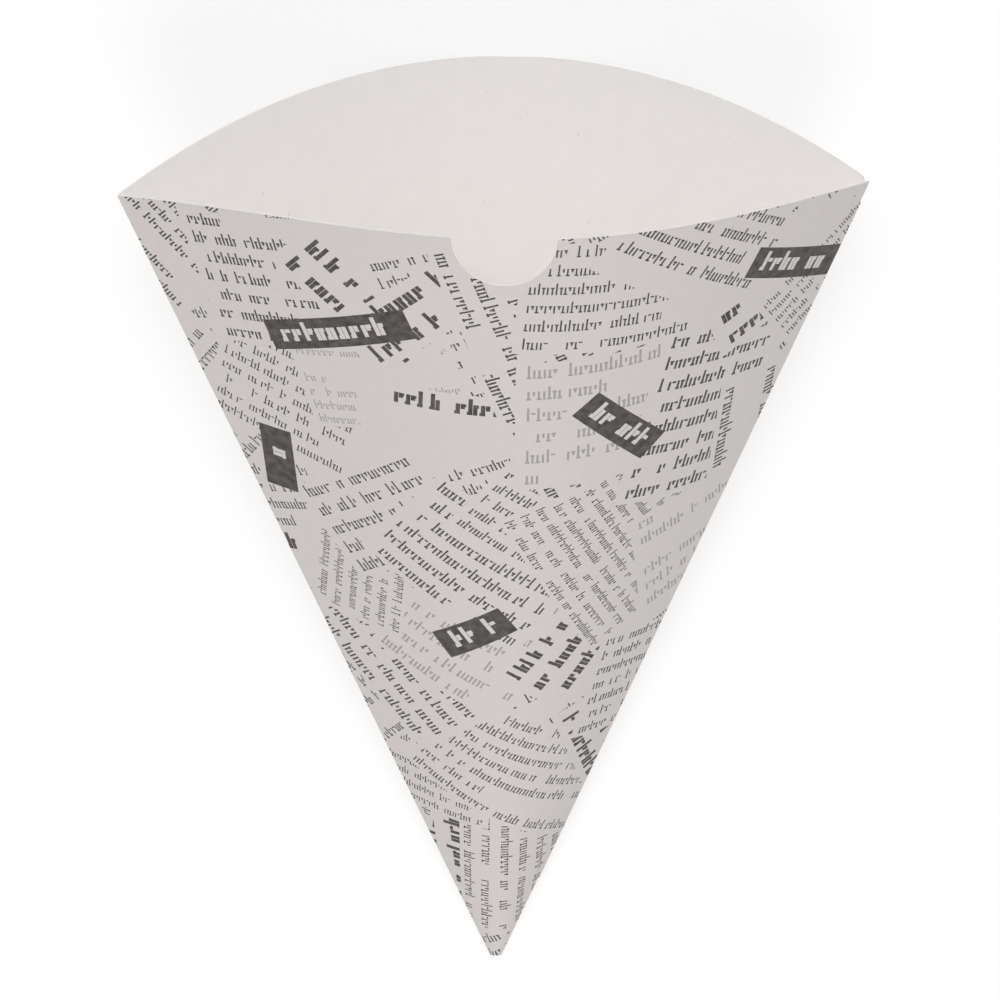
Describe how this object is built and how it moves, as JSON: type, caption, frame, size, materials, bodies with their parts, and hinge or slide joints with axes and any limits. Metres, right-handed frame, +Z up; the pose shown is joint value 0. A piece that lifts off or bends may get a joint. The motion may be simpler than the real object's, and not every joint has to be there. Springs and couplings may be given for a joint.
{
  "type": "paper cone",
  "caption": "Folded paperboard takeaway cone, laid on its back: two curved panels joined at sharp side folds, glued lap and a thumb notch in the front rim.",
  "frame": {"origin": "middle of the bounding box in plan, at the surface the cone lies on", "axes": "+Y along the middle line between the two folds, from the tip to the mouth, +Z up through the notched front, +X to the right seen from above with the mouth away"},
  "size_m": [0.1436, 0.1962, 0.0645],
  "materials": {
    "printed_board": "uncoated printed paperboard, matte, warm off-white outside with dark print, white inside"
  },
  "bodies": {
    "root": {"paper_cone": "printed_board"}
  },
  "joints": []
}
